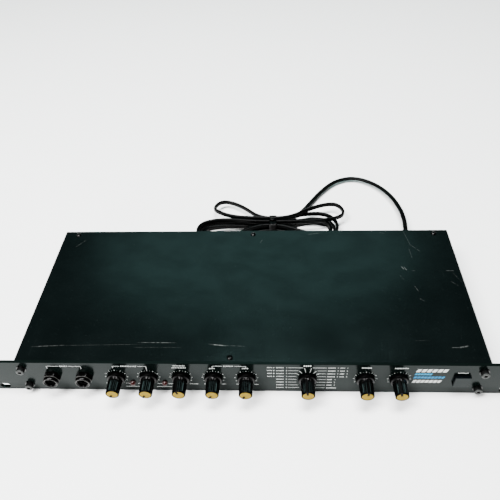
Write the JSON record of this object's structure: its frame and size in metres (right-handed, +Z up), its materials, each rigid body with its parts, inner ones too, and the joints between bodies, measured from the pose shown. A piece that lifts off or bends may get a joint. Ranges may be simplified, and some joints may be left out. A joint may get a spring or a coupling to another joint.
{
  "type": "digital delay unit",
  "caption": "Rack-mount digital delay unit with rotary knobs, front jacks, a push power switch and a tied flat mains cord.",
  "frame": {"origin": "middle of the underside, at the plane where the front panel seats on a rack rail", "axes": "+X to the right along the front panel, +Y backwards into the case, +Z up"},
  "size_m": [0.4826, 0.3459, 0.0442],
  "materials": {
    "panel_paint": "semi-gloss black stoved paint",
    "case_paint": "satin green-black paint, scratched",
    "tray_paint": "satin black paint",
    "black_screw": "black oxide",
    "cap_screw": "black oxide worn to bare steel at the rim",
    "zinc": "zinc plate",
    "knob_plastic": "fine matt moulding",
    "cap_plastic": "beige moulding",
    "steel": "turned",
    "phenolic": "brown phenolic",
    "jack_black": "moulded, edges worn pale",
    "lamp_red": "dark red lens",
    "button_black": "moulded",
    "board": "solder mask",
    "chip_black": "moulded",
    "capacitor_blue": "sleeve",
    "core_iron": "laminations",
    "coil_tape": "tape",
    "cord_rubber": "soft vinyl",
    "tie_vinyl": "soft vinyl",
    "ribbon_grey": "flat cable",
    "brass": "plated blade"
  },
  "bodies": {
    "case": {"front_panel": "panel_paint", "chassis_tray": "tray_paint", "rear_panel": "tray_paint", "top_cover": "case_paint", "case_screws": "black_screw", "panel_screws": "cap_screw", "panel_washers": "cap_screw", "dial_nuts": "zinc", "dial_pots": "zinc", "mode_switch": "zinc", "input_jacks": "jack_black", "input_jack_nuts": "jack_black", "output_jacks": "jack_black", "output_jack_nuts": "jack_black", "signal_leds": "lamp_red", "power_switch": "chip_black", "control_board": "board", "main_board": "board", "board_standoffs": "zinc", "board_screws": "zinc", "board_chips": "chip_black", "board_capacitors": "capacitor_blue", "ribbon_cable": "ribbon_grey", "transformer_core": "core_iron", "transformer_coil": "coil_tape", "level_switch": "zinc", "strain_relief": "cord_rubber", "power_cord": "cord_rubber", "power_cord_hank": "cord_rubber", "cord_tie": "tie_vinyl", "power_plug": "cord_rubber", "plug_blades": "brass", "mains_wires": "cord_rubber"},
    "dial_1": {"dial_1_knob": "knob_plastic", "dial_1_cap": "cap_plastic", "dial_1_shaft": "steel"},
    "dial_2": {"dial_2_knob": "knob_plastic", "dial_2_cap": "cap_plastic", "dial_2_shaft": "steel"},
    "dial_3": {"dial_3_knob": "knob_plastic", "dial_3_cap": "cap_plastic", "dial_3_shaft": "steel"},
    "dial_4": {"dial_4_knob": "knob_plastic", "dial_4_cap": "cap_plastic", "dial_4_shaft": "steel"},
    "dial_5": {"dial_5_knob": "knob_plastic", "dial_5_cap": "cap_plastic", "dial_5_shaft": "steel"},
    "mode_dial": {"mode_knob": "knob_plastic", "mode_cap": "cap_plastic", "mode_shaft": "steel"},
    "dial_6": {"dial_6_knob": "knob_plastic", "dial_6_cap": "cap_plastic", "dial_6_shaft": "steel"},
    "dial_7": {"dial_7_knob": "knob_plastic", "dial_7_cap": "cap_plastic", "dial_7_shaft": "steel"},
    "power_button": {"power_button": "button_black"},
    "level_slider": {"level_slider": "button_black"}
  },
  "joints": [
    {"name": "dial_1_turn", "type": "hinge", "parent": "case", "child": "dial_1", "pos_m": [-0.122, -0.01, 0.0226], "axis": [0, 1, 0], "range_deg": [0, 300]},
    {"name": "dial_2_turn", "type": "hinge", "parent": "case", "child": "dial_2", "pos_m": [-0.092, -0.01, 0.0226], "axis": [0, 1, 0], "range_deg": [0, 300]},
    {"name": "dial_3_turn", "type": "hinge", "parent": "case", "child": "dial_3", "pos_m": [-0.062, -0.01, 0.0226], "axis": [0, 1, 0], "range_deg": [-132, 168]},
    {"name": "dial_4_turn", "type": "hinge", "parent": "case", "child": "dial_4", "pos_m": [-0.032, -0.01, 0.0226], "axis": [0, 1, 0], "range_deg": [0, 300]},
    {"name": "dial_5_turn", "type": "hinge", "parent": "case", "child": "dial_5", "pos_m": [-0.002, -0.01, 0.0226], "axis": [0, 1, 0], "range_deg": [0, 300]},
    {"name": "mode_dial_turn", "type": "hinge", "parent": "case", "child": "mode_dial", "pos_m": [0.0535, -0.01, 0.0226], "axis": [0, 1, 0], "range_deg": [-157.5, 180]},
    {"name": "dial_6_turn", "type": "hinge", "parent": "case", "child": "dial_6", "pos_m": [0.1053, -0.01, 0.0226], "axis": [0, 1, 0], "range_deg": [-159, 141]},
    {"name": "dial_7_turn", "type": "hinge", "parent": "case", "child": "dial_7", "pos_m": [0.1354, -0.01, 0.0226], "axis": [0, 1, 0], "range_deg": [-136, 164]},
    {"name": "power_button_push", "type": "slide", "parent": "case", "child": "power_button", "axis": [0, 1, 0], "range_m": [0, 0.0025], "stiffness_N_per_m": 800},
    {"name": "level_slide", "type": "slide", "parent": "case", "child": "level_slider", "axis": [1, 0, 0], "range_m": [0, 0.003]}
  ]
}
